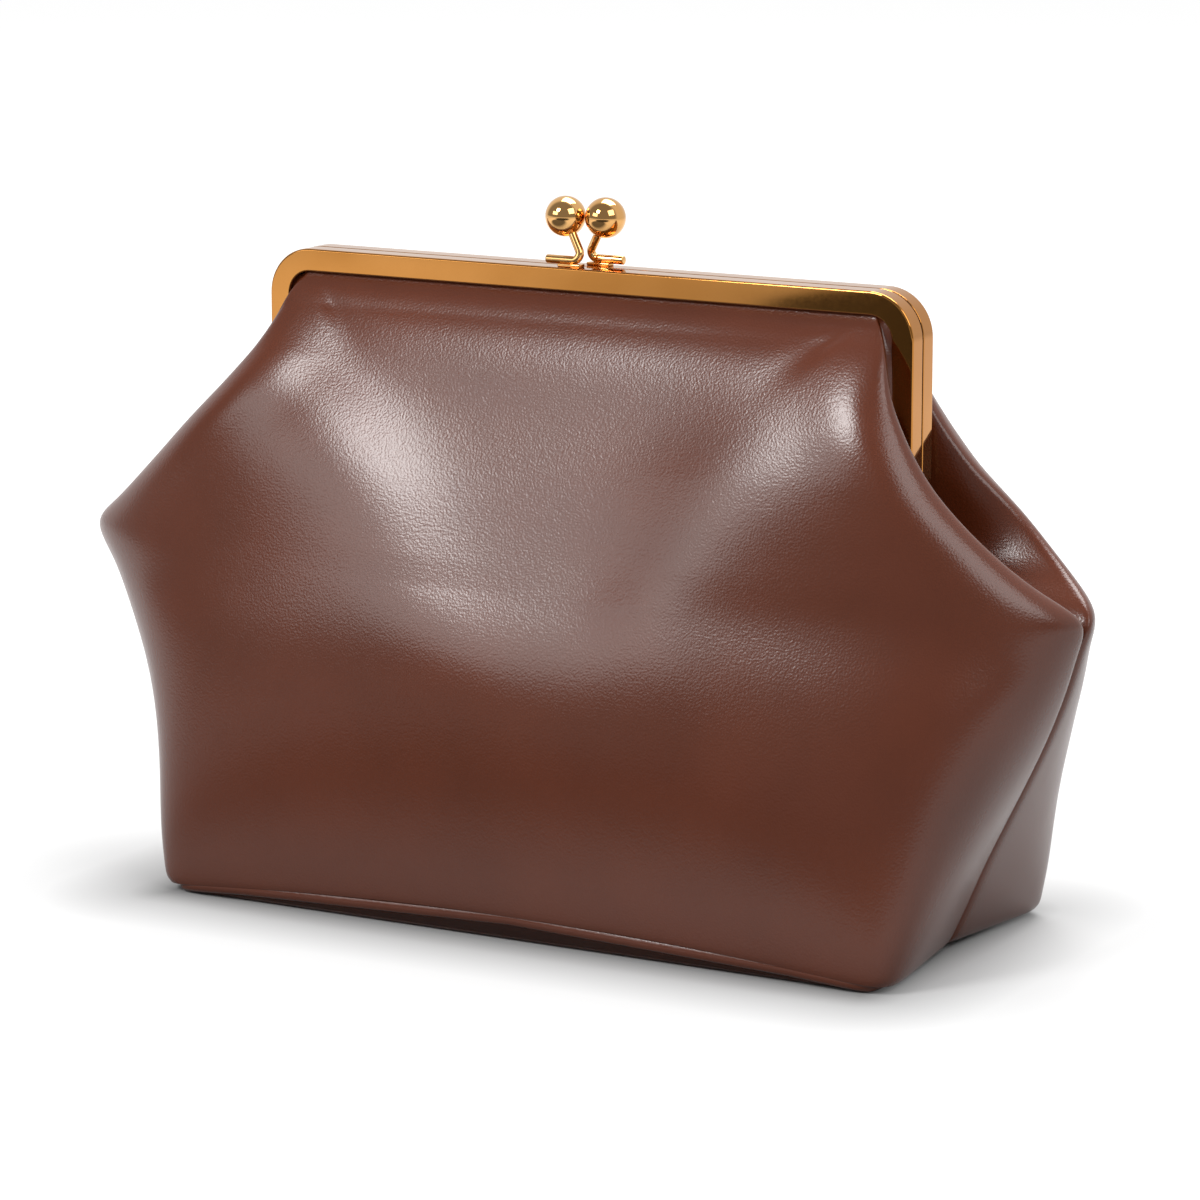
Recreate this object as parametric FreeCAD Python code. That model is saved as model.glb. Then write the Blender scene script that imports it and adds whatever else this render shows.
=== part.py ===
import FreeCAD, Part
import math
import os

V = FreeCAD.Vector

# Driving dimensions in millimetres. X is the width, -Y the front, Z up from the table.

# Frame halves: channels bent into an inverted U
frame_width = 200.0
frame_top = 178.0
arm_length = 65.0
frame_corner = 13.0
rail_height = 6.3
rail_depth = 6.0
rail_wall = 0.9
rail_round = 0.7
frame_gap = 0.6
channel_end = 14.0

# Hinge lugs and rivets at the lower ends of the arms
lug_thickness = 1.2
lug_radius = 4.0
lug_overlap = 6.0
lug_gap = 0.15
rivet_radius = 1.5
rivet_head_radius = 2.8
rivet_head_height = 0.8
rivet_clearance = 0.05
rivet_seat = 0.02

# Kiss clasp on top of the rails
clasp_offset = -2.0
ball_diameter = 11.2
ball_gap = 0.1
ball_stagger = 1.0
ball_lift = 11.6
stem_socket = 4.0
post_radius = 1.2
post_flat = 0.25
bar_length = 11.4
elbow_reach = 1.2
clasp_plate_thickness = 0.9
clasp_plate_width = 3.0
clasp_plate_length = 7.0
clasp_plate_inset = 0.4

# Bag skin
leather = 1.8
lining = 0.6
layer_gap = 0.3
base_width = 221.0
base_depth = 99.0
base_thickness = 2.0
board_thickness = 2.5
belly_height = 38.0
belly_depth = 104.0
tip_span = 314.0
tip_height = 95.0
tip_depth = 88.0
fold_span = 272.0
fold_depth = 80.0

# Side folds around the hinges
fold_radius = 9.0
fold_start = 88.0
fold_taper_start = 118.0
fold_tip_radius = 1.2
fold_tip_drop = 1.5

# Upper skin, which swings inside the rim of the lower skin
shoulder_hollow = 1.8
chest_round = 1.25
rim_gap = 0.4
swing_gap = 0.6
roll_gap = 0.3
tongue_gap = 0.1
cord_gap = 0.8
cord_width = 1.4

# The space beside each arm: how far it opens towards the front at the hinge, half way and at the top
wedge_slopes = (0.15, 0.9, 1.2)
upper_shares = (0.0, 0.24, 0.55, 0.8, 1.0)

# Fullness of the skin's plan at its levels: 1 is nearly a rectangle, 0.36 an ellipse
front_full = 0.45
base_full = 0.95
belly_full = 0.8
side_full = 0.62
tip_full = 0.36
fold_full = 0.5
neck_full = 0.85

# Sizes that follow from the driving ones
half_width = frame_width / 2
hinge_height = frame_top - arm_length
inner_half = half_width - rail_height
rail_back = frame_gap / 2
rail_front = rail_back + rail_depth
rail_mid = rail_back + rail_depth / 2
rail_under = frame_top - rail_height
arm_end = hinge_height + channel_end
slot_back = rail_back + rail_wall
slot_front = rail_front - rail_wall
leather_back = slot_front - tongue_gap - leather
lining_back = leather_back - tongue_gap - lining
tongue_low = arm_end + lug_overlap + tongue_gap
swing_inset = leather + layer_gap + lining + swing_gap
far_out = tip_span
tolerance = 1e-4


def frame_face(offset, bottom):
    """The inverted U outline of the frame, moved inwards by offset and closed at the given height."""
    side = half_width - offset
    top = frame_top - offset
    corner = max(frame_corner - offset, 1.0)
    dip = corner * (1 - math.sqrt(0.5))
    left_low = V(-side, 0, bottom)
    left_high = V(-side, 0, top - corner)
    top_left = V(corner - side, 0, top)
    top_right = V(side - corner, 0, top)
    right_high = V(side, 0, top - corner)
    right_low = V(side, 0, bottom)
    edges = [
        Part.makeLine(left_low, left_high),
        Part.Arc(left_high, V(dip - side, 0, top - dip), top_left).toShape(),
        Part.makeLine(top_left, top_right),
        Part.Arc(top_right, V(side - dip, 0, top - dip), right_high).toShape(),
        Part.makeLine(right_high, right_low),
        Part.makeLine(right_low, left_low),
    ]
    return Part.Face(Part.Wire(edges))


def frame_band(outer_offset, inner_offset, front, back, bottom):
    """A band that follows the frame between two offsets, from front to back along Y."""
    outer = frame_face(outer_offset, bottom).extrude(V(0, front - back, 0))
    inner = frame_face(inner_offset, bottom - rail_height).extrude(V(0, front - back, 0))
    band = outer.cut(inner)
    band.translate(V(0, -front, 0))
    return band


def mirror_to_rear(shape):
    """The same shape on the other side of the plane between the two halves."""
    return shape.mirror(V(0, 0, 0), V(0, 1, 0))


def mirror_to_left(shape):
    """The same shape on the other side of the middle plane of the width."""
    return shape.mirror(V(0, 0, 0), V(1, 0, 0))


def x_cylinder(radius, start, end):
    """A round bar along X on the hinge axis."""
    return Part.makeCylinder(radius, end - start, V(start, 0, hinge_height), V(1, 0, 0))


# Frame halves


def hinge_lug(outer_x, depth_front, depth_back):
    """A flat lug from the end of an arm down to the rivet, with its outer face at outer_x."""
    top = arm_end + lug_overlap
    inner_x = outer_x - lug_thickness
    neck = hinge_height + lug_radius
    corners = [
        V(inner_x, -depth_front, top),
        V(inner_x, -depth_back, top),
        V(inner_x, -depth_back, arm_end),
        V(inner_x, lug_radius, hinge_height),
        V(inner_x, -lug_radius, hinge_height),
        V(inner_x, -depth_front, neck),
        V(inner_x, -depth_front, top),
    ]
    plate = Part.Face(Part.makePolygon(corners)).extrude(V(lug_thickness, 0, 0))
    eye = x_cylinder(lug_radius, inner_x, outer_x)
    return plate.fuse(eye).removeSplitter()


def channel_rail():
    """The front channel, open inwards, with its outer edges rounded."""
    rail = frame_band(0, rail_height, rail_front, rail_back, arm_end)
    front_rim = [e for e in rail.Edges if is_outer_edge(e, -rail_front)]
    rail = rail.makeFillet(rail_round, front_rim)
    slot = frame_band(rail_wall, rail_height + rail_wall, slot_front, slot_back, arm_end - rail_height)
    return rail.cut(slot)


def is_outer_edge(edge, y):
    """True for an edge of the outer outline in the plane at y, apart from the ends of the arms."""
    box = edge.BoundBox
    flat = abs(box.YMin - y) < tolerance and abs(box.YMax - y) < tolerance
    far_x = max(abs(box.XMin), abs(box.XMax))
    outside = far_x > inner_half + tolerance or box.ZMax > rail_under + tolerance
    low_end = box.ZMax < arm_end + tolerance
    return flat and outside and not low_end


rear_lug_x = half_width - lug_thickness - lug_gap
rivet_inner = rear_lug_x - lug_thickness
rivet_outer = half_width + lug_gap


def make_front_rail():
    rail = channel_rail()
    lug = hinge_lug(half_width, rail_front, rail_back)
    hole = x_cylinder(rivet_radius + rivet_clearance, rivet_inner, rivet_outer)
    lug = lug.cut(hole)
    return rail.fuse([lug, mirror_to_left(lug)]).removeSplitter()


def make_rear_rail():
    rail = channel_rail()
    lug = hinge_lug(rear_lug_x, slot_front, slot_back)
    shim_corner = V(rear_lug_x, -slot_front, arm_end)
    shim_size = half_width - rail_wall - rear_lug_x
    shim = Part.makeBox(shim_size, slot_front - slot_back, lug_overlap, shim_corner)
    lug = lug.fuse(shim)
    hole = x_cylinder(rivet_radius + rivet_seat, rivet_inner, rivet_outer)
    lug = lug.cut(hole)
    return mirror_to_rear(rail.fuse([lug, mirror_to_left(lug)]).removeSplitter())


def make_hinge_rivet():
    shank = x_cylinder(rivet_radius, rivet_inner, rivet_outer)
    inner_head = x_cylinder(rivet_head_radius, rivet_inner - rivet_head_height, rivet_inner)
    outer_head = x_cylinder(rivet_head_radius, rivet_outer, rivet_outer + rivet_head_height)
    rivet = shank.fuse([inner_head, outer_head]).removeSplitter()
    rims = [e for e in rivet.Edges if e.BoundBox.YLength > 2 * rivet_radius + rivet_head_height
            and (e.BoundBox.XMin > rivet_outer + 0.5 * rivet_head_height
                 or e.BoundBox.XMax < rivet_inner - 0.5 * rivet_head_height)]
    return rivet.makeFillet(0.5 * rivet_head_height, rims)


# Kiss clasp: the front half carries the left ball, the rear half the right ball

bar_height = frame_top + clasp_plate_thickness + post_radius - post_flat
ball_height = bar_height + ball_lift
ball_reach = (ball_diameter + ball_gap) / 2


def clasp_points():
    """The ends and the elbow of the front clasp's wire, and the centre of its ball."""
    elbow = V(clasp_offset + elbow_reach, -rail_mid, bar_height)
    bar_end = V(elbow.x - bar_length, -rail_mid, bar_height)
    ball = V(clasp_offset - ball_reach, -ball_stagger, ball_height)
    return bar_end, elbow, ball


def turn_to_rear(shape):
    """The other half's clasp is the same piece turned half a turn about the clasp's middle."""
    turned = shape.copy()
    turned.rotate(V(clasp_offset, 0, 0), V(0, 0, 1), 180)
    return turned


def make_clasp_plate():
    _, elbow, _ = clasp_points()
    start = elbow.x - clasp_plate_inset - clasp_plate_length
    corner = V(start, -rail_mid - clasp_plate_width / 2, frame_top)
    return Part.makeBox(clasp_plate_length, clasp_plate_width, clasp_plate_thickness, corner)


def stem_direction():
    _, elbow, ball = clasp_points()
    return (ball - elbow).normalize()


def make_clasp_post():
    bar_end, elbow, ball = clasp_points()
    bar = Part.makeCylinder(post_radius, bar_length, bar_end, V(1, 0, 0))
    bend = Part.makeSphere(post_radius, elbow)
    reach = (ball - elbow).Length - ball_diameter / 2 + stem_socket
    stem = Part.makeCylinder(post_radius, reach, elbow, stem_direction())
    post = bar.fuse([bend, stem]).removeSplitter()
    under = Part.makeBox(4 * bar_length, 4 * post_radius, 4 * post_radius)
    under.translate(V(bar_end.x - bar_length, -rail_mid - 2 * post_radius,
                      frame_top + clasp_plate_thickness - 4 * post_radius))
    return post.cut(under)


def make_clasp_ball():
    ball = clasp_points()[2]
    socket_radius = post_radius + rivet_seat
    mouth = ball - stem_direction() * ball_diameter
    depth = ball_diameter / 2 + stem_socket + rivet_seat
    socket = Part.makeCylinder(socket_radius, depth, mouth, stem_direction())
    return Part.makeSphere(ball_diameter / 2, ball).cut(socket)


# Bag skin: each half is a loft through level outlines


def plan_curve(level, inset):
    """The front half of a level outline: a smooth curve drawn inside seven poles."""
    height, half_span, half_depth, fullness = level
    span = half_span - inset
    depth = half_depth - inset
    side_y = -fullness * depth
    front_x = (front_full + (1 - front_full) * fullness) * span
    poles = [V(span, 0, height), V(span, side_y, height), V(front_x, -depth, height), V(0, -depth, height),
             V(-front_x, -depth, height), V(-span, side_y, height), V(-span, 0, height)]
    curve = Part.BSplineCurve()
    curve.buildFromPolesMultsKnots(poles, [4, 1, 1, 1, 4], [0.0, 0.25, 0.5, 0.75, 1.0], False, 3)
    return curve.toShape()


def plan_wire(level, inset):
    """The half outline closed by a straight line at its back."""
    curve = plan_curve(level, inset)
    ends = curve.Vertexes
    return Part.Wire([curve, Part.makeLine(ends[-1].Point, ends[0].Point)])


def half_skin(levels, inset):
    """A closed half body through the levels, inset from the outside of the skin."""
    wires = [plan_wire(level, inset) for level in levels]
    return Part.makeLoft(wires, True, False)


def span_at(height):
    """Half the width of the lower skin: the side seams run straight from the base to the tips."""
    share = (height - base_thickness) / (tip_height - base_thickness)
    return base_width / 2 + (tip_span - base_width) / 2 * share


def lower_levels(floor):
    side_height = (belly_height + tip_height) / 2
    side_depth = (belly_depth + tip_depth) / 2
    return [
        (floor, base_width / 2, base_depth / 2, base_full),
        (belly_height, span_at(belly_height), belly_depth / 2, belly_full),
        (side_height, span_at(side_height), side_depth / 2, side_full),
        (tip_height, tip_span / 2, tip_depth / 2, tip_full),
    ]


def shoulder_levels():
    return [
        (tip_height, tip_span / 2, tip_depth / 2, tip_full),
        (hinge_height, fold_span / 2, fold_depth / 2, fold_full),
    ]


def lower_body(floor, inset):
    """The bag below the fold line: the belly up to the tips and the shoulders above them."""
    belly = half_skin(lower_levels(floor), inset)
    shoulder = half_skin(shoulder_levels(), inset)
    return belly.fuse(shoulder)


def side_fold(radius_more):
    """The two side folds as bars on the hinge axis that taper down to the tips."""
    radius = fold_radius + radius_more
    start = fold_start - radius_more
    bar = x_cylinder(radius, start, fold_taper_start)
    wide = Part.makeCircle(radius, V(fold_taper_start, 0, hinge_height), V(1, 0, 0))
    tip = V(tip_span / 2, 0, tip_height + fold_tip_drop)
    narrow = Part.makeCircle(fold_tip_radius + radius_more, tip, V(1, 0, 0))
    taper = Part.makeLoft([Part.Wire([wide]), Part.Wire([narrow])], True, True)
    fold = bar.fuse(taper)
    return fold.fuse(mirror_to_left(fold))


def lower_skin(floor, outer_inset, thickness, closed_floor):
    """A lower front skin of one thickness, with the front half of each side fold."""
    outer = lower_body(floor, outer_inset)
    inner = lower_body(floor + closed_floor, outer_inset + thickness)
    outer = outer.cut(side_fold(outer_inset))
    inner = inner.cut(side_fold(outer_inset + thickness))
    return outer.cut(inner)


def upper_levels(drop):
    """Levels of the upper skin from the fold line to drop below the underside of the rail."""
    low = hinge_height + rim_gap
    high = rail_under - tongue_gap - drop
    low_span = fold_span / 2 - swing_inset
    high_span = inner_half + leather
    low_depth = fold_depth / 2 - swing_inset
    high_depth = rail_front + leather
    levels = []
    for share in upper_shares:
        span = high_span + (low_span - high_span) * (1 - share) ** shoulder_hollow
        depth = low_depth + (high_depth - low_depth) * share ** chest_round
        full = fold_full + (neck_full - fold_full) * share
        levels.append((low + (high - low) * share, span, depth, full))
    return levels


def arm_wedge(inset):
    """The space beside each arm that the rolled skin leaves free, grown by inset."""
    wires = []
    heights = (hinge_height - leather, hinge_height + arm_length / 2, frame_top)
    for height, slope in zip(heights, wedge_slopes):
        near = inner_half - roll_gap - inset
        grown = inset * (math.sqrt(1 + slope * slope) - slope)
        near_y = -rail_front - roll_gap - grown
        far_y = near_y - slope * (far_out - near)
        corners = [V(near, far_out, height), V(near, near_y, height), V(far_out, far_y, height),
                   V(far_out, far_out, height), V(near, far_out, height)]
        wires.append(Part.makePolygon(corners))
    wedge = Part.makeLoft(wires, True, True)
    return wedge.fuse(mirror_to_left(wedge))


def upper_body(inset):
    """The front half of the bag above the fold line, clear of the rail and of the space beside the arms."""
    body = half_skin(upper_levels(inset), inset)
    room = roll_gap + inset
    rail_room = frame_band(0, rail_height + room, rail_front + room, -rail_front, arm_end)
    return body.cut(rail_room).cut(arm_wedge(inset))


def upper_skin(outer_inset, thickness, back):
    """An upper front skin with its rolled edge in the channel, clear of the side folds and hinges."""
    outer = upper_body(outer_inset)
    inner = upper_body(outer_inset + thickness)
    behind = Part.makeBox(2 * far_out, back, 2 * frame_top, V(-far_out, -back, 0))
    skin = outer.cut(inner).cut(behind)
    tongue = frame_band(rail_wall + tongue_gap, rail_height + roll_gap + outer_inset + thickness,
                        back + thickness, back, tongue_low)
    skin = skin.fuse(tongue)
    hinge_room = x_cylinder(fold_radius + swing_inset, fold_start - swing_inset, far_out)
    return skin.cut(hinge_room.fuse(mirror_to_left(hinge_room))).removeSplitter()


def make_paper_cord():
    return frame_band(rail_wall + tongue_gap, rail_height - cord_gap, lining_back - tongue_gap,
                      lining_back - tongue_gap - cord_width, tongue_low)


def base_plate(inset, low, thickness):
    """A flat plate with the outline of the base, inset from its edge."""
    front = plan_curve((low, base_width / 2, base_depth / 2, base_full), inset)
    outline = Part.Wire([front, mirror_to_rear(front)])
    return Part.Face(outline).extrude(V(0, 0, thickness))


lining_inset = leather + layer_gap
board_top = base_thickness + board_thickness

front_panel = lower_skin(base_thickness, 0, leather, 0)
lining_front = lower_skin(board_top, lining_inset, lining, lining)
front_panel_top = upper_skin(0, leather, leather_back)
front_lining_top = upper_skin(lining_inset, lining, lining_back)
hinge_rivet_right = make_hinge_rivet()
front_clasp_plate = make_clasp_plate()
front_clasp_post = make_clasp_post()
front_clasp_ball = make_clasp_ball()
front_paper_cord = make_paper_cord()

nodes = {
    "front_rail": make_front_rail(),
    "rear_rail": make_rear_rail(),
    "hinge_rivet_right": hinge_rivet_right,
    "hinge_rivet_left": mirror_to_left(hinge_rivet_right),
    "front_clasp_plate": front_clasp_plate,
    "rear_clasp_plate": turn_to_rear(front_clasp_plate),
    "front_clasp_post": front_clasp_post,
    "rear_clasp_post": turn_to_rear(front_clasp_post),
    "front_clasp_ball": front_clasp_ball,
    "rear_clasp_ball": turn_to_rear(front_clasp_ball),
    "front_paper_cord": front_paper_cord,
    "rear_paper_cord": mirror_to_rear(front_paper_cord),
    "front_panel": front_panel,
    "rear_panel": mirror_to_rear(front_panel),
    "front_panel_top": front_panel_top,
    "rear_panel_top": mirror_to_rear(front_panel_top),
    "base_panel": base_plate(0, 0, base_thickness),
    "base_board": base_plate(lining_inset, base_thickness, board_thickness),
    "lining_front": lining_front,
    "lining_rear": mirror_to_rear(lining_front),
    "front_lining_top": front_lining_top,
    "rear_lining_top": mirror_to_rear(front_lining_top),
}

os.makedirs("parts", exist_ok=True)
for name, shape in nodes.items():
    shape.exportStep("parts/" + name + ".step")
    print(name, len(shape.Solids), "solid", round(shape.Volume, 1), "mm3", shape.isValid())
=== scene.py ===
import bmesh
import bpy
from math import atan2, cos, exp, hypot, pi, radians, sin, tan, tanh
from mathutils import Matrix, Vector


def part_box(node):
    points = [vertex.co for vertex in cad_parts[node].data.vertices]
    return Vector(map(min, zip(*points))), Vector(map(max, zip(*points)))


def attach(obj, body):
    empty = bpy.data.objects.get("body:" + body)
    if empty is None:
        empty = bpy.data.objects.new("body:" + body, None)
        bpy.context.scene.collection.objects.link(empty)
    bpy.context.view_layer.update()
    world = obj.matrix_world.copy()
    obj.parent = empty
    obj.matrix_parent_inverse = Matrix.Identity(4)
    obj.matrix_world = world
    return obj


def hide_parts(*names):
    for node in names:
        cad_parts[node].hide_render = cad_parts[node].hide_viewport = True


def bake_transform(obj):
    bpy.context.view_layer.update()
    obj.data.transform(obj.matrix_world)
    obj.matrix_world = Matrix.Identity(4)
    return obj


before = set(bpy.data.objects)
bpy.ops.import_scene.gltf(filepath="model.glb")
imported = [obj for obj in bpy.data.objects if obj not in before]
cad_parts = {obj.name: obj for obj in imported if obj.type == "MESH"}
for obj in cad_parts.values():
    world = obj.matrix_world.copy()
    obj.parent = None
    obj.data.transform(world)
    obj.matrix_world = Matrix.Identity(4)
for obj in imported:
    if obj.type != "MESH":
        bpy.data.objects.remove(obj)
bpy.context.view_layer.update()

# Front and rear panels: two pieces of smooth brown calf leather, sewn to each other down the sides and to
# the base round the bottom. Their upper edges are glued into the channels of the frame, which gathers them
# at its corners, and the sides fold inwards under the hinges.

# Sizes are in millimetres: X is the width, -Y the front and Z the height above the table.
MM = 0.001

leather_thickness = 1.6
row_heights = [2.2, 3.1, 4.8, 13, 26, 43, 60, 76, 87, 95, 102, 110, 119, 129, 140, 151, 161, 167.5, 170.8, 173.6]
column_shares = [0, 0.03, 0.08, 0.155, 0.225, 0.27, 0.305, 0.34, 0.385, 0.46, 0.58, 0.72, 0.86, 1]
outline_steps = 64
surface_levels = 3

# The outer edge of a panel by height: the side seam up to the tip, then the roll beside the arm.
panel_edge = [
    (0.2, Vector((109.0, 1.2))), (1.4, Vector((112.3, 1.2))), (3.8, Vector((114.6, 1.2))),
    (13, Vector((118.0, 1.2))), (26, Vector((121.8, 1.2))), (43, Vector((128.4, 1.2))),
    (60, Vector((136.3, 1.2))), (76, Vector((145.2, 1.2))), (87, Vector((151.0, 1.2))),
    (95, Vector((156.7, 1.6))), (102, Vector((146.0, 9.0))), (110, Vector((136.3, 12.8))),
    (119, Vector((126.1, 15.2))), (129, Vector((115.8, 16.6))), (140, Vector((106.2, 16.6))),
    (151, Vector((98.5, 15.0))), (161, Vector((95.2, 11.8))), (167.5, Vector((92.0, 8.2))),
    (170.8, Vector((88.6, 4.9))), (173.6, Vector((87.6, 4.4))),
]
# The rear panel's rolls beside the arms are drawn in tighter than the front's.
rear_trim = [
    (119, Vector((0, 0))), (129, Vector((1.2, 4.6))), (140, Vector((2.4, 7.0))), (151, Vector((2.8, 6.5))),
    (161, Vector((2.0, 4.0))), (167.5, Vector((0.6, 1.2))), (170.8, Vector((0, 0))),
]
# How far the panel stands forward at its middle, and how square its level outline is.
panel_depth = [
    (0.2, 48.4), (1.4, 49.9), (3.8, 50.7), (13, 51.3), (26, 52.0), (43, 52.4), (60, 51.6), (76, 49.4),
    (87, 46.9), (95, 44.6), (102, 42.4), (110, 39.6), (119, 36.2), (129, 32.1), (140, 27.1), (151, 21.4),
    (161, 14.8), (167.5, 8.6), (170.6, 4.6), (173.6, 4.4),
]
panel_squareness = [
    (0.2, 34), (3.8, 28), (13, 15), (26, 8.5), (43, 4.9), (60, 3.5), (76, 2.75), (87, 2.3), (95, 2.1),
    (102, 2.1), (110, 2.2), (119, 2.5), (129, 3.0), (140, 3.6), (151, 4), (161, 4.5), (167.5, 5), (170.8, 8),
    (173.6, 8),
]
# Below the tips the panel's edge turns in at the side seam, which pinches the leather.
tip_height = 95
seam_allowance = (9, 6.5, 4, 1.6)
seam_half_gap = 0.05
seam_pinch = [(0, 6.4), (26, 3.6), (43, 1.6), (60, 0)]
pinch_reach = 26
# Above them the inward fold turns beside the arm, and ends in the valley or in the channel.
fold_turn = [
    (95, Vector((148, 0.6, 93.5))), (102, Vector((134, 3.4, 100.2))), (110, Vector((114, 6.2, 103.8))),
    (119, Vector((95.5, 8.2, 107))), (129, Vector((92.6, 8.2, 119.5))), (140, Vector((93.0, 7.8, 131.5))),
    (151, Vector((92.9, 7.6, 143))), (161, Vector((92.7, 7.4, 153.5))), (167.5, Vector((92.6, 7.3, 161))),
    (170.8, Vector((91.4, 6.0, 166.4))), (173.6, Vector((90.2, 4.4, 170.4))),
]
fold_end = [
    (95, Vector((145, -0.3, 92))), (102, Vector((134, -0.5, 96.5))), (110, Vector((113, -0.5, 100.5))),
    (119, Vector((91.0, -0.3, 103.5))), (129, Vector((91.5, 4.4, 118.5))), (140, Vector((95.0, 4.4, 131))),
    (151, Vector((95.8, 4.4, 143))), (161, Vector((96.0, 4.4, 153.5))), (167.5, Vector((96.2, 4.4, 160.5))),
    (170.8, Vector((95.4, 4.4, 166.5))), (173.6, Vector((93.6, 4.3, 170.2))),
]
fold_shares = (0.62, 0.2)
# The bag leans to one side by height, apart from the folds that the frame holds above the held height.
bag_lean = [
    (0, 2.2), (13, 2.2), (26, 2.5), (43, 2.7), (60, 1.8), (76, -0.9), (87, -3.8), (95, -6.2), (102, -4.9),
    (110, -4.9), (129, -4.5), (140, -2.3), (151, -0.6), (165, 0),
]
held_height = 115
# The bottom edge bows up at the middle of the front and of the back.
seam_arch = 5.4
arch_half_width = 110.5
arch_depth = 48
arch_height = 45


def along(profile, height):
    """The value at a height on a profile of (height, value) points, with straight runs between them."""
    last = len(profile) - 2
    step = next((i for i in range(last) if height <= profile[i + 1][0]), last)
    (low, first), (high, second) = profile[step], profile[step + 1]
    share = min(max((height - low) / (high - low), 0), 1)
    return first + (second - first) * share


def spread(run, shares):
    """Points at the given shares of the length of a run of points."""
    lengths = [0]
    for a, b in zip(run, run[1:]):
        lengths.append(lengths[-1] + (b - a).length)
    return [along(list(zip(lengths, run)), share * lengths[-1]) for share in shares]


def level_outline(height, face):
    """Half of a panel's level outline, from its edge at the side to the middle of the front."""
    edge = along(panel_edge, height)
    if face > 0:
        edge = edge - along(rear_trim, height)
    depth = along(panel_depth, height)
    power = 2 / along(panel_squareness, height)
    run = []
    for step in range(outline_steps + 1):
        turn = step / outline_steps * pi / 2
        x = edge.x * max(cos(turn), 0) ** power
        y = edge.y + (depth - edge.y) * sin(turn) ** power
        x -= along(seam_pinch, height) * max(1 - y / pinch_reach, 0) ** 2
        run.append(Vector((x, y, height)))
    return spread(run, column_shares)


def side_fold(height, edge):
    """The turned-in edge: a seam allowance below the tip, and the wall of the inward fold above it."""
    if height < tip_height:
        return [Vector((edge.x - inset, seam_half_gap, height)) for inset in seam_allowance]
    turn = along(fold_turn, height)
    return [along(fold_end, height), turn] + [edge.lerp(turn, share) for share in fold_shares]


def lift_base(point, arch):
    """How far the bottom edge bows up at a point, for an arch of the given height."""
    across = max(1 - (point.x / arch_half_width) ** 2, 0)
    forward = min(abs(point.y) / arch_depth, 1) ** 2
    return arch * across * forward * max(1 - point.z / arch_height, 0)


def panel_cage(face):
    """The rows of a panel's control points, for face -1 at the front and 1 at the rear."""
    rows = []
    for height in row_heights:
        outline = level_outline(height, face)
        fold = side_fold(height, outline[0])
        half = fold + outline
        lean = along(bag_lean, height)
        row = []
        for side in (-1, 1):
            points = half if side < 0 else half[-2::-1]
            for index, p in enumerate(points):
                column = index if side < 0 else len(half) - 2 - index
                free = min(max((column - 1) / (len(fold) - 1), 0), 1) if height > held_height else 1
                row.append(Vector((side * p.x + lean * free, face * p.y, p.z + lift_base(p, seam_arch))))
        rows.append(row)
    return rows


def finished_mesh(obj):
    """Applies the modifiers that shape a piece, so that its mesh is final."""
    shaped = obj.evaluated_get(bpy.context.evaluated_depsgraph_get())
    mesh = bpy.data.meshes.new_from_object(shaped)
    obj.modifiers.clear()
    obj.data = mesh
    return obj


def new_piece(name, bm, material=None):
    """A piece at the origin from a bmesh, shaded smooth, with its material."""
    for f in bm.faces:
        f.smooth = True
    mesh = bpy.data.meshes.new(name)
    bm.to_mesh(mesh)
    bm.free()
    obj = bpy.data.objects.new(name, mesh)
    bpy.context.scene.collection.objects.link(obj)
    if material:
        mesh.materials.append(material)
    return obj


# The chest is drawn in under the rail, between two bounds that move apart with the height above their foot.
chest_hollow = 5.6
chest_low, chest_low_fade = 86, 20
chest_high, chest_high_fade = 154, 14
bound_foot = 105
right_bound, right_slope, right_fade, right_softening = 42, 0.25, 14, 0.25
left_bound, left_slope, left_flare, left_fade = 30, 0.6, 20, 21
flare_height = 45
# A full roll runs down beside each arm, a little inside the panel's edge.
roll_lift = 1.5
roll_share = 0.905
roll_inner_width, roll_outer_width = 12, 8
roll_height, roll_spread = 138, 24
# A short crease runs inwards and down from each corner of the frame.
crease_depth = 0.8
crease_corner_x, crease_corner_z = 86, 171
crease_turn, crease_turn_spread = 0.95, 0.2
crease_start, crease_length = 5, 22
# The gathers begin above the belly, and fade out towards the channel.
gather_height = 40
gather_clear, gather_fade = 7.5, 4


def bell(distance, width):
    """1 at no distance, falling smoothly to nothing past the width."""
    return exp(-(distance / width) ** 2)


def hollow_bound(side, rise):
    """How far the hollow of the chest reaches to one side, and how softly it ends there."""
    if side > 0:
        return right_bound + right_slope * rise, right_fade + right_softening * max(rise, 0)
    return left_bound + left_slope * rise + left_flare * (rise / flare_height) ** 3, left_fade


def corner_gather(x, z):
    """The leather's lift on its plain swell: the hollow chest, the rolls and the creases."""
    x -= along(bag_lean, z)
    crest = roll_share * along(panel_edge, z).x
    inside, roll, crease = 1, 0, 0
    for side in (-1, 1):
        bound, fade = hollow_bound(side, z - bound_foot)
        inside *= (1 - tanh((side * x - bound) / fade)) / 2
        inward = crest - side * x
        width = roll_inner_width if inward > 0 else roll_outer_width
        roll += bell(inward, width) * bell(z - roll_height, roll_spread)
        across, down = crease_corner_x - side * x, crease_corner_z - z
        reach = hypot(across, down)
        turn = atan2(across, max(down, 0.01))
        along_crease = (1 - exp(-reach / crease_start)) * bell(reach, crease_length)
        crease += bell(turn - crease_turn, crease_turn_spread) * along_crease
    above = (1 + tanh((z - chest_low) / chest_low_fade)) / 2
    below = (1 + tanh((chest_high - z) / chest_high_fade)) / 2
    return roll_lift * roll - crease_depth * crease - chest_hollow * above * below * inside


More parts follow.
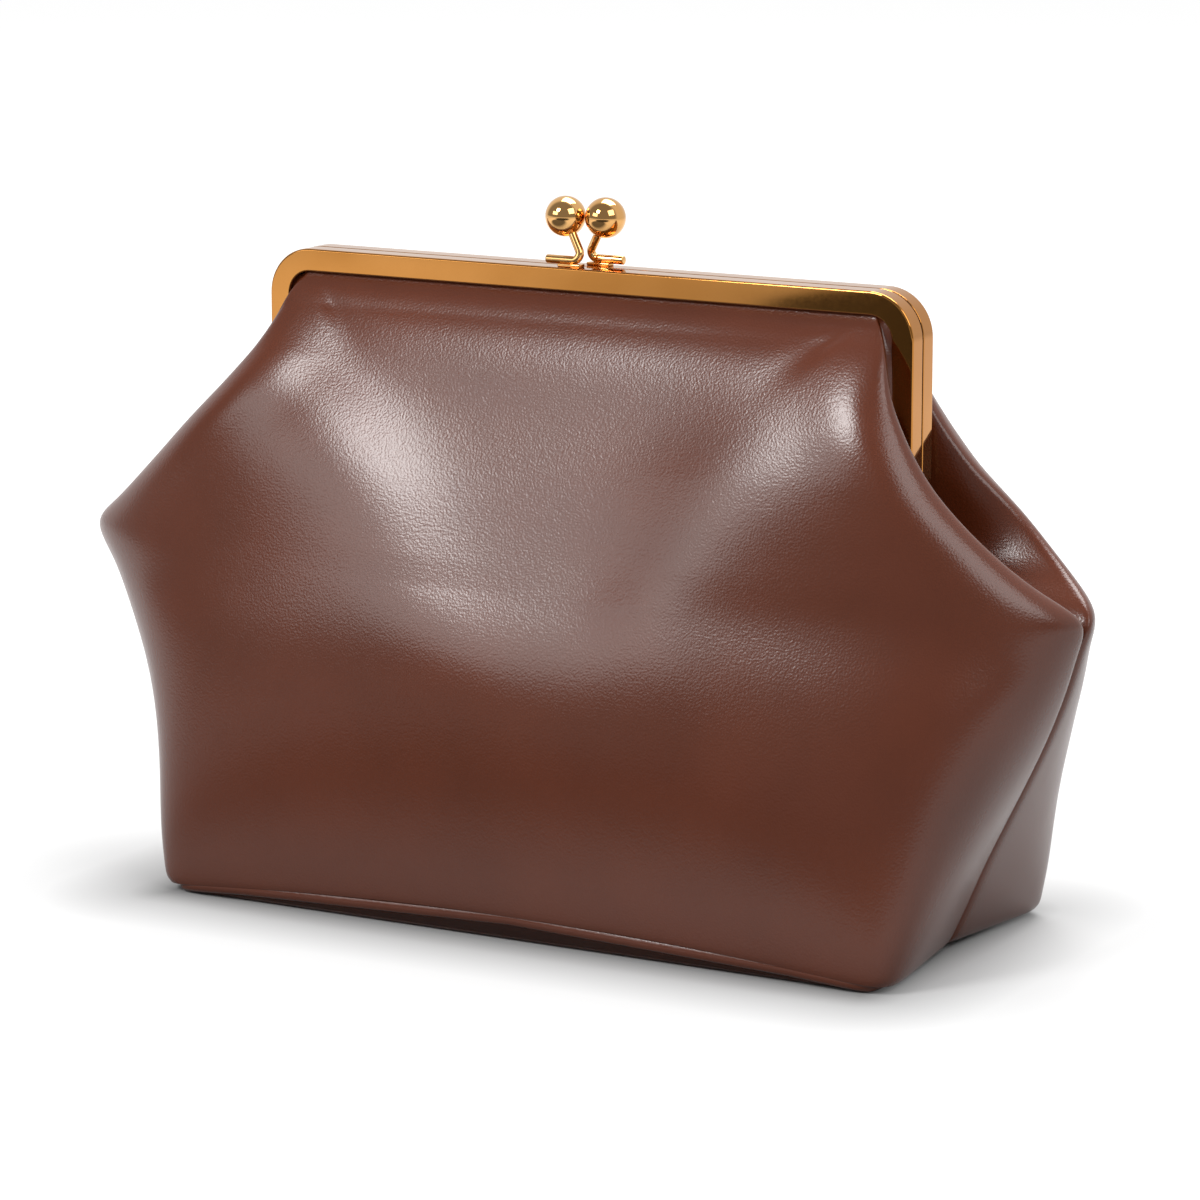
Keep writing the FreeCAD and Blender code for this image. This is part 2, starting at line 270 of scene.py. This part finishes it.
def leather_surface(name, face):
    """A panel's outer surface: its control points, subdivided, with the gathers at the frame's corners."""
    rows = panel_cage(face)
    bm = bmesh.new()
    across, up = len(rows[0]) - 1, len(rows) - 1
    bmesh.ops.create_grid(bm, x_segments=across, y_segments=up, size=1)
    for v in bm.verts:
        column = round((v.co.x + 1) / 2 * across)
        row = round((v.co.y + 1) / 2 * up)
        v.co = rows[row][column] * MM
    if face > 0:
        bmesh.ops.reverse_faces(bm, faces=bm.faces[:])
    obj = new_piece(name, bm)
    rounding = obj.modifiers.new("rounding", "SUBSURF")
    rounding.levels = rounding.render_levels = surface_levels
    finished_mesh(obj)
    outward = [v.normal.copy() for v in obj.data.vertices]
    for v, normal in zip(obj.data.vertices, outward):
        x, y, z = v.co / MM
        if z > gather_height and abs(y) > gather_clear:
            front = min((abs(y) - gather_clear) / gather_fade, 1)
            v.co += normal * corner_gather(x, z) * front * MM
    return obj


def give_thickness(obj, thickness):
    """Gives a surface its wall, inwards from the outer side."""
    wall = obj.modifiers.new("thickness", "SOLIDIFY")
    wall.thickness = thickness * MM
    wall.offset = -1
    return finished_mesh(obj)


def new_material(name):
    """A material with its node tree, its shader and the Object coordinates."""
    mat = bpy.data.materials.new(name)
    mat.use_nodes = True
    tree = mat.node_tree
    place = tree.nodes.new("ShaderNodeTexCoord").outputs["Object"]
    return mat, tree, tree.nodes["Principled BSDF"], place


def add_noise(tree, place, scale, detail, roughness=0.5):
    """A noise pattern at a place."""
    noise = tree.nodes.new("ShaderNodeTexNoise")
    noise.inputs["Scale"].default_value = scale
    noise.inputs["Detail"].default_value = detail
    noise.inputs["Roughness"].default_value = roughness
    tree.links.new(place, noise.inputs["Vector"])
    return noise.outputs["Fac"]


def add_tones(tree, pattern, shader, deep, pale, low=0, high=1):
    """Colours a shader from a deep tone to a pale one, between two levels of a pattern."""
    tone = tree.nodes.new("ShaderNodeValToRGB")
    deep_stop, pale_stop = tone.color_ramp.elements
    deep_stop.position, pale_stop.position = low, high
    deep_stop.color, pale_stop.color = (*deep, 1), (*pale, 1)
    tree.links.new(pattern, tone.inputs["Fac"])
    tree.links.new(tone.outputs["Color"], shader.inputs["Base Color"])


def add_gloss(tree, pattern, shader, low, high):
    """Varies a shader's roughness with a pattern."""
    gloss = tree.nodes.new("ShaderNodeMapRange")
    gloss.inputs["To Min"].default_value = low
    gloss.inputs["To Max"].default_value = high
    tree.links.new(pattern, gloss.inputs["Value"])
    tree.links.new(gloss.outputs["Result"], shader.inputs["Roughness"])


def add_bump(tree, pattern, shader, strength, distance):
    """Raises a pattern on the bumps that a shader already has."""
    bump = tree.nodes.new("ShaderNodeBump")
    bump.inputs["Strength"].default_value = strength
    bump.inputs["Distance"].default_value = distance
    tree.links.new(pattern, bump.inputs["Height"])
    for link in shader.inputs["Normal"].links:
        tree.links.new(link.from_socket, bump.inputs["Normal"])
    tree.links.new(bump.outputs["Normal"], shader.inputs["Normal"])


def leather_material():
    """Smooth, lightly waxed calf: a deep red brown with a fine grain of worm-like lines."""
    mat, tree, shader, place = new_material("brown_calf")
    clouds = add_noise(tree, place, 26, 4)
    worms = add_noise(tree, place, 1700, 0)
    creases = add_noise(tree, place, 160, 5, roughness=0.62)
    add_tones(tree, clouds, shader, (0.079, 0.0165, 0.0048), (0.098, 0.0212, 0.0070), low=0.3, high=0.72)
    add_bump(tree, worms, shader, strength=0.15, distance=0.0003)
    add_bump(tree, creases, shader, strength=0.022, distance=0.0008)
    add_gloss(tree, creases, shader, 0.245, 0.272)
    shader.inputs["Specular IOR Level"].default_value = 0.48
    return mat


def bend_with(obj):
    """Bakes the panel's placement into its mesh."""
    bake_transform(obj)


brown_calf = leather_material()

for face, half, name, nodes in (
    (-1, "front_half", "front_leather", ("front_panel", "front_panel_top")),
    (1, "rear_half", "rear_leather", ("rear_panel", "rear_panel_top")),
):
    panel = leather_surface(name, face)
    give_thickness(panel, leather_thickness)
    panel.data.materials.append(brown_calf)
    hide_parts(*nodes)
    bend_with(panel)

# Lining: a thin brown cotton twill, sewn into the same seams and glued into the channels with the leather.
# It hangs slack behind the fold line, and its edges are cut straight a little inside the arms.

lining_inset = 2.3
lining_thickness = 0.5
lining_slack = 6
slack_height, slack_spread = 106, 18
slack_clear, slack_fade = 14, 10
lining_half_width = 82
lining_cut_low = 126
cut_margin = 12
cut_tolerance = 0.01


def lining_material():
    """Brown cotton twill with its fine diagonal ribs."""
    mat, tree, shader, place = new_material("cotton_twill")
    turned = tree.nodes.new("ShaderNodeMapping")
    turned.inputs["Rotation"].default_value = (0.4, radians(45), 0.3)
    tree.links.new(place, turned.inputs["Vector"])
    ribs = tree.nodes.new("ShaderNodeTexWave")
    ribs.inputs["Scale"].default_value = 420
    ribs.inputs["Distortion"].default_value = 1.2
    ribs.inputs["Detail"].default_value = 2
    tree.links.new(turned.outputs["Vector"], ribs.inputs["Vector"])
    add_tones(tree, ribs.outputs["Fac"], shader, (0.105, 0.066, 0.040), (0.190, 0.128, 0.082))
    add_bump(tree, ribs.outputs["Fac"], shader, strength=0.4, distance=0.0003)
    shader.inputs["Roughness"].default_value = 0.85
    shader.inputs["Sheen Weight"].default_value = 0.1
    shader.inputs["Sheen Tint"].default_value = (0.42, 0.28, 0.18, 1)
    return mat


def draw_in(obj):
    """Moves the lining in from the leather's outer side, with slack behind the fold line."""
    outward = [v.normal.copy() for v in obj.data.vertices]
    for v, normal in zip(obj.data.vertices, outward):
        y, z = abs(v.co.y) / MM, v.co.z / MM
        hang = min(max((y - slack_clear) / slack_fade, 0), 1)
        slack = lining_slack * bell(z - slack_height, slack_spread) * hang
        v.co -= normal * (lining_inset + slack) * MM


def cut_beside_arms(obj):
    """Cuts the lining off in a straight line inside each arm."""
    bm = bmesh.new()
    bm.from_mesh(obj.data)
    for side in (-1, 1):
        near = [v for v in bm.verts if v.co.z > lining_cut_low * MM
                and side * v.co.x > (lining_half_width - cut_margin) * MM]
        parts = list({g for v in near for g in [v, *v.link_edges, *v.link_faces]})
        bmesh.ops.bisect_plane(bm, geom=parts, plane_co=(side * lining_half_width * MM, 0, 0),
                               plane_no=(side, 0, 0))
    past = [v for v in bm.verts if v.co.z > lining_cut_low * MM
            and abs(v.co.x) > (lining_half_width + cut_tolerance) * MM]
    bmesh.ops.delete(bm, geom=past, context="VERTS")
    bm.to_mesh(obj.data)
    bm.free()


cotton_twill = lining_material()

for face, half, name, nodes in (
    (-1, "front_half", "front_lining", ("lining_front", "front_lining_top")),
    (1, "rear_half", "rear_lining", ("lining_rear", "rear_lining_top")),
):
    lining = leather_surface(name, face)
    draw_in(lining)
    cut_beside_arms(lining)
    give_thickness(lining, lining_thickness)
    lining.data.materials.append(cotton_twill)
    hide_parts(*nodes)
    bend_with(lining)

# Base: a piece of the same leather over a stiff fibre board. Its edge is sewn to the panels and shows as a
# narrow strip under their seam, and it bows up a little between the corners.

base_half_width = 109.4
base_half_depth = 50.2
base_thickness = 4.0
base_round = 1.8
base_squareness = 26
base_arch = 4.4
base_rings = (2, 6, 12, 20)
board_inset = 4
board_thickness = 2.0
board_round = 0.3
rim_turn = 0.8


def base_slab(name, inset, low, thickness, round_edge):
    """A plate with the outline of the base, bowed with the bottom edge of the panels."""
    bm = bmesh.new()
    bmesh.ops.create_circle(bm, cap_ends=True, segments=160, radius=1)
    power = 2 / base_squareness
    for v in bm.verts:
        side, face = (1 if v.co.x > 0 else -1), (1 if v.co.y > 0 else -1)
        x = (base_half_width - inset) * abs(v.co.x) ** power
        y = (base_half_depth - inset) * abs(v.co.y) ** power
        x -= along(seam_pinch, 0) * max(1 - y / pinch_reach, 0) ** 2
        v.co = Vector((side * x, face * y, low)) * MM
    for ring in base_rings:
        middle = max(bm.faces, key=lambda f: f.calc_area())
        bmesh.ops.inset_region(bm, faces=[middle], thickness=ring * MM)
    grown = bmesh.ops.extrude_face_region(bm, geom=bm.faces[:])["geom"]
    raised = [g for g in grown if isinstance(g, bmesh.types.BMVert)]
    bmesh.ops.translate(bm, verts=raised, vec=(0, 0, thickness * MM))
    bmesh.ops.recalc_face_normals(bm, faces=bm.faces[:])
    rim = [e for e in bm.edges if e.is_manifold and e.calc_face_angle(0) > rim_turn]
    bmesh.ops.bevel(bm, geom=rim, offset=round_edge * MM, offset_type="OFFSET", affect="EDGES", segments=4,
                    profile=0.5, material=-1)
    for v in bm.verts:
        level = Vector((v.co.x, v.co.y, 0)) / MM
        v.co.z += lift_base(level, base_arch) * MM
        v.co.x += along(bag_lean, 0) * MM
    return new_piece(name, bm)


def board_material():
    """Grey brown fibre board with short fibres."""
    mat, tree, shader, place = new_material("fibre_board")
    add_tones(tree, add_noise(tree, place, 700, 6), shader, (0.17, 0.13, 0.09), (0.33, 0.27, 0.20))
    shader.inputs["Roughness"].default_value = 0.8
    return mat


base = base_slab("leather_base", 0, 0, base_thickness, base_round)
base.data.materials.append(brown_calf)
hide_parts("base_panel")
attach(base, "pouch")

board = base_slab("stiffener_board", board_inset, base_thickness, board_thickness, board_round)
board.data.materials.append(board_material())
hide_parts("base_board")
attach(board, "pouch")

# Frame: two channels of polished gilt brass, each bent into an inverted U that grips the edge of its panel.
# The flange ends are rolled smooth, and a flat lug at the foot of each arm carries the hinge.

frame_half_width = 100.0
frame_top = 178.0
frame_corner = 13.0
arm_foot = 127.0
channel_front = 6.3
channel_back = 0.3
channel_wall = 0.9
flange = 6.3
edge_round = 0.3
flange_round = 0.4
front_round = 0.6
bend_steps = 16
top_pieces = 8
rail_sharp_turn = radians(40)

# The front lugs lie in the channel's own wall, a hair inside its faces, and the rear ones inside them.
hinge_height = 113.0
lug_radius = 4.0
lug_thickness = 1.2
lug_top = 133.0
lug_inset = 0.04
lug_gap = 0.15
eye_steps = 16


def gilt_material(name, deep, pale):
    """Polished gilt brass, with the faint waves and hairlines that polishing leaves."""
    mat, tree, shader, place = new_material(name)
    waves = add_noise(tree, place, 38, 1.5)
    hairlines = add_noise(tree, place, 900, 3)
    add_tones(tree, waves, shader, deep, pale, low=0.35, high=0.68)
    add_gloss(tree, hairlines, shader, 0.035, 0.08)
    add_bump(tree, waves, shader, strength=0.04, distance=0.0006)
    shader.inputs["Metallic"].default_value = 1
    return mat


def channel_outline(bm, face):
    """The open channel's cut at the foot of the right arm, with its corners rounded."""
    front_inside, back_inside = channel_front - channel_wall, channel_back + channel_wall
    cut = [
        (0, channel_back, edge_round), (0, channel_front, front_round),
        (flange, channel_front, flange_round), (flange, front_inside, edge_round),
        (channel_wall, front_inside, edge_round), (channel_wall, back_inside, edge_round),
        (flange, back_inside, edge_round), (flange, channel_back, edge_round),
    ]
    corners = [bm.verts.new(Vector((frame_half_width - inset, face * y, arm_foot)) * MM) for inset, y, _ in cut]
    bm.faces.new(corners)
    for v, (_, _, radius) in zip(corners, cut):
        bmesh.ops.bevel(bm, geom=[v], offset=radius * MM, offset_type="OFFSET", affect="VERTICES", segments=5,
                        profile=0.5, material=-1)
    bmesh.ops.delete(bm, geom=bm.faces[:], context="FACES_ONLY")
    return bm.edges[:]


def pull(bm, edges, shift):
    """Extrudes a run of edges in a straight line and returns the new edges."""
    grown = bmesh.ops.extrude_edge_only(bm, edges=edges)["geom"]
    verts = [g for g in grown if isinstance(g, bmesh.types.BMVert)]
    bmesh.ops.translate(bm, verts=verts, vec=Vector(shift) * MM)
    return [g for g in grown if isinstance(g, bmesh.types.BMEdge)]


def bend_edges(bm, edges, centre, axis, angle, steps):
    """Spins a run of edges round a bend and returns the last edges."""
    verts = list({v for e in edges for v in e.verts})
    spun = bmesh.ops.spin(bm, geom=edges + verts, cent=Vector(centre) * MM, axis=axis, angle=angle, steps=steps)
    return [g for g in spun["geom_last"] if isinstance(g, bmesh.types.BMEdge)]


def hinge_lugs(bm, face, outer_x, front, back):
    """A flat lug at each side, from inside the arm's foot down to an eye round the rivet."""
    turns = [pi * step / eye_steps for step in range(eye_steps + 1)]
    eye = [Vector((0, lug_radius * cos(t), hinge_height - lug_radius * sin(t))) for t in turns]
    outline = [Vector((0, -front, lug_top)), Vector((0, -back, lug_top)), Vector((0, -back, arm_foot))]
    outline += eye + [Vector((0, -front, hinge_height + lug_radius))]
    for side in (-1, 1):
        ring = [bm.verts.new(Vector((side * outer_x, -face * p.y, p.z)) * MM) for p in outline]
        plate = bm.faces.new(ring)
        grown = bmesh.ops.extrude_face_region(bm, geom=[plate])["geom"]
        verts = [g for g in grown if isinstance(g, bmesh.types.BMVert)]
        bmesh.ops.translate(bm, verts=verts, vec=(-side * lug_thickness * MM, 0, 0))


def frame_rail(name, face, lug_x, lug_front, lug_back):
    """One half of the frame: the channel run up one arm, along the top and down the other, with its lugs."""
    bm = bmesh.new()
    bend_x = frame_half_width - frame_corner
    bend_z = frame_top - frame_corner
    rise = bend_z - arm_foot
    foot = channel_outline(bm, face)
    run = pull(bm, foot, (0, 0, rise))
    run = bend_edges(bm, run, (bend_x, 0, bend_z), (0, -1, 0), pi / 2, bend_steps)
    for step in range(top_pieces):
        run = pull(bm, run, (-2 * bend_x / top_pieces, 0, 0))
    run = bend_edges(bm, run, (-bend_x, 0, bend_z), (0, -1, 0), pi / 2, bend_steps)
    run = pull(bm, run, (0, 0, -rise))
    bmesh.ops.holes_fill(bm, edges=foot, sides=0)
    bmesh.ops.holes_fill(bm, edges=run, sides=0)
    hinge_lugs(bm, face, lug_x, lug_front, lug_back)
    bmesh.ops.recalc_face_normals(bm, faces=bm.faces[:])
    rail = new_piece(name, bm, gilt_brass)
    rail.data.set_sharp_from_angle(angle=rail_sharp_turn)
    flat = rail.modifiers.new("flat_faces", "WEIGHTED_NORMAL")
    flat.keep_sharp = True
    return finished_mesh(rail)


gilt_brass = gilt_material("gilt_brass", (0.42, 0.178, 0.041), (0.50, 0.225, 0.060))

front_rail = frame_rail("front_frame", -1, frame_half_width - lug_inset, channel_front - lug_inset,
                        channel_back + lug_inset)
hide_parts("front_rail")
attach(front_rail, "front_half")

rear_rail = frame_rail("rear_frame", 1, frame_half_width - lug_thickness - lug_gap,
                       channel_front - channel_wall, channel_back + channel_wall)
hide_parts("rear_rail")
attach(rear_rail, "rear_half")

# Hinge rivets: turned pins of the same brass with domed heads, one through the two lugs on each side.
# They are closed over the lugs, so that the two halves of the frame turn on them.

# The rivet's profile from its inner head to its outer one: the distance from the middle, and the radius.
rivet_profile = [
    (96.65, 0.0), (96.65, 1.4), (96.85, 2.2), (97.25, 2.75), (97.45, 2.8), (97.45, 1.5),
    (100.15, 1.5), (100.15, 2.8), (100.35, 2.75), (100.75, 2.2), (100.95, 1.4), (100.95, 0.0),
]
sharp_turn = radians(50)

for side, name in ((-1, "left"), (1, "right")):
    bm = bmesh.new()
    verts = [bm.verts.new(Vector((side * x, r, hinge_height)) * MM) for x, r in rivet_profile]
    edges = [bm.edges.new(pair) for pair in zip(verts, verts[1:])]
    bmesh.ops.spin(bm, geom=verts + edges, cent=(0, 0, hinge_height * MM), axis=(1, 0, 0), angle=2 * pi,
                   steps=36, use_merge=True)
    bmesh.ops.remove_doubles(bm, verts=bm.verts[:], dist=1e-6)
    bmesh.ops.recalc_face_normals(bm, faces=bm.faces[:])
    rivet = new_piece("rivet_" + name, bm, gilt_brass)
    rivet.data.set_sharp_from_angle(angle=sharp_turn)
    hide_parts("hinge_rivet_" + name)
    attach(rivet, "rear_half")

# Kiss clasp: on each half a bent brass wire is soldered to a small pad on top of the rail, and carries a
# polished ball. The balls snap past each other to hold the frame shut.

clasp_middle = -2.0
wire_radius = 1.2
wire_round = 0.3
bar_length = 11.4
elbow = Vector((-0.8, -3.3, 179.85))
elbow_bend = 3.2
ball_radius = 5.6
ball_centre = Vector((-7.65, -1.0, 191.45))
pad_round = 0.25


def clasp_wire(bm):
    """The wire: a level bar, a tight bend and a leaning stem up into the ball."""
    level = Vector((1, 0, 0))
    lean = (ball_centre - elbow).normalized()
    turn = level.angle(lean)
    axis = level.cross(lean).normalized()
    bend_radius = elbow_bend / tan(turn / 2)
    disc = bmesh.ops.create_circle(bm, segments=24, radius=wire_radius * MM)["verts"]
    bmesh.ops.rotate(bm, verts=disc, cent=(0, 0, 0), matrix=Matrix.Rotation(pi / 2, 3, "Y"))
    bmesh.ops.translate(bm, verts=disc, vec=(elbow - level * bar_length) * MM)
    foot = list({e for v in disc for e in v.link_edges})
    run = pull(bm, foot, level * (bar_length - elbow_bend))
    run = bend_edges(bm, run, elbow - level * elbow_bend + axis.cross(level) * bend_radius, axis, turn, 10)
    run = pull(bm, run, lean * ((ball_centre - elbow).length - elbow_bend))
    end = bmesh.ops.holes_fill(bm, edges=foot, sides=0)["faces"]
    rim = list({e for f in end for e in f.edges})
    bmesh.ops.bevel(bm, geom=rim, offset=wire_round * MM, offset_type="OFFSET", affect="EDGES", segments=3,
                    profile=0.5, material=-1)
    bmesh.ops.holes_fill(bm, edges=run, sides=0)


def clasp_ball(bm):
    """The polished ball round the end of the wire."""
    bmesh.ops.create_uvsphere(bm, u_segments=64, v_segments=32, radius=ball_radius * MM)
    bmesh.ops.translate(bm, verts=bm.verts[:], vec=ball_centre * MM)


def clasp_pad(bm):
    """The soldered pad between the wire and the rail."""
    low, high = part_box("front_clasp_plate")
    bmesh.ops.create_cube(bm, size=1)
    bmesh.ops.scale(bm, verts=bm.verts[:], vec=high - low)
    bmesh.ops.translate(bm, verts=bm.verts[:], vec=(low + high) / 2)
    bmesh.ops.bevel(bm, geom=bm.edges[:], offset=pad_round * MM, offset_type="OFFSET", affect="EDGES",
                    segments=3, profile=0.5, material=-1)


# The clasp's gilt is a paler copy of the frame's: a painted highlight, standing in for the brighter reflections on
# the balls.
painted_highlight_gilt = gilt_material("painted_highlight_gilt", (0.66, 0.36, 0.13), (0.74, 0.43, 0.17))

for make, shape, node in ((clasp_wire, "wire", "post"), (clasp_ball, "ball", "ball"), (clasp_pad, "pad", "plate")):
    for half in ("front", "rear"):
        bm = bmesh.new()
        make(bm)
        if half == "rear":
            bmesh.ops.rotate(bm, verts=bm.verts[:], cent=(clasp_middle * MM, 0, 0),
                             matrix=Matrix.Rotation(pi, 3, "Z"))
        bmesh.ops.recalc_face_normals(bm, faces=bm.faces[:])
        clasp = new_piece(half + "_clasp_" + shape, bm, painted_highlight_gilt)
        clasp.data.set_sharp_from_angle(angle=sharp_turn)
        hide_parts(half + "_clasp_" + node)
        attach(clasp, half + "_half")

# Paper cords: twisted brown paper, pressed into the channels behind the lining to wedge the edges in.
# They are hidden, and keep the shape that the CAD gives them.


def cord_material():
    """Brown paper with the slanting lines of its twist."""
    mat, tree, shader, place = new_material("twisted_paper")
    twist = tree.nodes.new("ShaderNodeTexWave")
    twist.bands_direction = "DIAGONAL"
    twist.inputs["Scale"].default_value = 220
    twist.inputs["Distortion"].default_value = 1.5
    tree.links.new(place, twist.inputs["Vector"])
    add_tones(tree, twist.outputs["Fac"], shader, (0.30, 0.21, 0.11), (0.48, 0.37, 0.22))
    shader.inputs["Roughness"].default_value = 0.9
    return mat


twisted_paper = cord_material()

for half in ("front", "rear"):
    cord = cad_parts[half + "_paper_cord"]
    cord.data.materials.clear()
    cord.data.materials.append(twisted_paper)

# Studio: a white floor that keeps the contact shadow, a white surround that is dimmer towards the front in
# reflections, four soft lights and the photograph's camera. Here the lengths are in metres.

floor_size = 12
floor_grey = (0.31, 0.31, 0.31, 1)
white = (1, 1, 1, 1)
# The floor's glow by the distance from the bag's foot.
foot_half = (0.108, 0.05, 0)
glow_levels = [(0, 0), (0.012, 0.28), (0.035, 0.52), (0.15, 0.68), (0.5, 0.85)]
# In reflections the floor is dark below the camera, and close in front of the bag.
dark_grey = (0.05, 0.05, 0.05, 1)
room_middle = (0.25, -1.35, 0)
room_levels = [(0.785, 1), (0.80, 0.5), (1, 0)]
shade_middle = (-0.15, -0.5, 0)
shade_outer, shade_inner, shade_level = 0.46, 0.3, 0.92
# The surround's light by how far it lies to the rear, in reflections and elsewhere.
surround_front, surround_rear = -0.15, 0.25
front_mirrored, rear_mirrored = 0.34, 1
surround_fill = 0.38


def add_maths(tree, operation, *sources, kind="ShaderNodeMath", result="Value"):
    """A sum on outputs of other nodes or on plain values."""
    sum_node = tree.nodes.new(kind)
    sum_node.operation = operation
    for socket, source in zip(sum_node.inputs, sources):
        if isinstance(source, bpy.types.NodeSocket):
            tree.links.new(source, socket)
        else:
            socket.default_value = source
    return sum_node.outputs[result]


def add_vector_maths(tree, operation, *sources, result="Vector"):
    """The same on vectors, where a length or a distance has a Value for its result."""
    return add_maths(tree, operation, *sources, kind="ShaderNodeVectorMath", result=result)


def add_smooth_step(tree, value, start, end, low, high):
    """A smooth change from a low level at the start to a high one at the end."""
    step = tree.nodes.new("ShaderNodeMapRange")
    step.interpolation_type = "SMOOTHSTEP"
    for name, level in (("From Min", start), ("From Max", end), ("To Min", low), ("To Max", high)):
        step.inputs[name].default_value = level
    tree.links.new(value, step.inputs["Value"])
    return step.outputs["Result"]


def add_greys(tree, value, levels):
    """A ramp of greys over a value, from its (position, level) stops."""
    ramp = tree.nodes.new("ShaderNodeValToRGB")
    stops = ramp.color_ramp.elements
    stops[0].position, stops[1].position = levels[0][0], levels[-1][0]
    for position, _ in levels[1:-1]:
        stops.new(position)
    for stop, (_, level) in zip(stops, levels):
        stop.color = (level, level, level, 1)
    tree.links.new(value, ramp.inputs["Fac"])
    return ramp.outputs["Color"]


def floor_material():
    """White paper that glows away from the bag, so that only its contact shadow shows."""
    mat, tree, shader, place = new_material("white_floor")
    shader.inputs["Base Color"].default_value = floor_grey
    shader.inputs["Roughness"].default_value = 0.9
    shader.inputs["Specular IOR Level"].default_value = 0
    shader.inputs["Emission Color"].default_value = white

    rays = tree.nodes.new("ShaderNodeLightPath").outputs
    seen = add_maths(tree, "MAXIMUM", rays["Is Camera Ray"], rays["Is Glossy Ray"])
    seen = add_maths(tree, "MAXIMUM", seen, rays["Is Transmission Ray"])
    past = add_vector_maths(tree, "SUBTRACT", add_vector_maths(tree, "ABSOLUTE", place), foot_half)
    gap = add_vector_maths(tree, "LENGTH", add_vector_maths(tree, "MAXIMUM", past, (0, 0, 0)), result="Value")
    glow = add_maths(tree, "MULTIPLY", seen, add_greys(tree, gap, glow_levels))
    tree.links.new(glow, shader.inputs["Emission Strength"])

    to_room = add_vector_maths(tree, "DISTANCE", place, room_middle, result="Value")
    room = add_greys(tree, to_room, room_levels)
    to_shade = add_vector_maths(tree, "DISTANCE", place, shade_middle, result="Value")
    shade = add_smooth_step(tree, to_shade, shade_outer, shade_inner, 0, shade_level)
    dim = add_maths(tree, "MULTIPLY", add_maths(tree, "MAXIMUM", room, shade), rays["Is Glossy Ray"])
    dark = tree.nodes.new("ShaderNodeBsdfDiffuse")
    dark.inputs["Color"].default_value = dark_grey
    mix = tree.nodes.new("ShaderNodeMixShader")
    tree.links.new(dim, mix.inputs["Fac"])
    tree.links.new(shader.outputs["BSDF"], mix.inputs[1])
    tree.links.new(dark.outputs["BSDF"], mix.inputs[2])
    tree.links.new(mix.outputs["Shader"], tree.nodes["Material Output"].inputs["Surface"])
    return mat


def white_surround():
    """A white world to the camera, with its own levels for reflections and for fill light."""
    world = bpy.data.worlds.new("studio")
    world.use_nodes = True
    tree = world.node_tree
    rays = tree.nodes.new("ShaderNodeLightPath").outputs
    heading = tree.nodes.new("ShaderNodeSeparateXYZ")
    tree.links.new(tree.nodes.new("ShaderNodeTexCoord").outputs["Generated"], heading.inputs["Vector"])
    mirrored = add_smooth_step(tree, heading.outputs["Y"], surround_front, surround_rear, front_mirrored,
                               rear_mirrored)
    light = tree.nodes.new("ShaderNodeMix")
    light.inputs["A"].default_value = surround_fill
    tree.links.new(rays["Is Glossy Ray"], light.inputs["Factor"])
    tree.links.new(mirrored, light.inputs["B"])
    seen = add_maths(tree, "MAXIMUM", rays["Is Camera Ray"], rays["Is Transmission Ray"])
    backdrop = tree.nodes["Background"]
    backdrop.inputs["Color"].default_value = white
    tree.links.new(add_maths(tree, "MAXIMUM", light.outputs["Result"], seen), backdrop.inputs["Strength"])
    return world


def aim(obj, place, target):
    """Puts a light or a camera at a place, turned to its target, and links it to the scene."""
    obj.location = place
    obj.rotation_mode = "QUATERNION"
    obj.rotation_quaternion = (Vector(target) - Vector(place)).to_track_quat("-Z", "Y")
    bpy.context.scene.collection.objects.link(obj)


floor_bm = bmesh.new()
bmesh.ops.create_grid(floor_bm, x_segments=1, y_segments=1, size=floor_size)
floor = new_piece("floor", floor_bm, floor_material())

bpy.context.scene.world = white_surround()

for name, place, size, power in (
    ("left_softbox", (-0.451, -1.116, 1.092), (0.44, 0.41), 14.5),
    ("low_left_softbox", (-0.804, -1.147, 0.637), (0.8, 0.37), 3.3),
    ("right_softbox", (1.2, -0.51, 1.04), (0.9, 0.8), 9),
    ("top_softbox", (0, 0.6, 1.6), (1.2, 1.0), 34),
):
    lamp = bpy.data.lights.new(name, "AREA")
    lamp.shape = "RECTANGLE"
    lamp.size, lamp.size_y = size
    lamp.energy = power
    aim(bpy.data.objects.new(name, lamp), place, target=(0, 0, 0.1))

lens = bpy.data.cameras.new("camera")
lens.lens = 151.8
lens.sensor_width = 36
camera = bpy.data.objects.new("camera", lens)
aim(camera, (0.6688, -1.1921, 0.3635), target=(0.0025, 0, 0.0857))
bpy.context.scene.camera = camera
bpy.context.scene.view_settings.view_transform = "Standard"
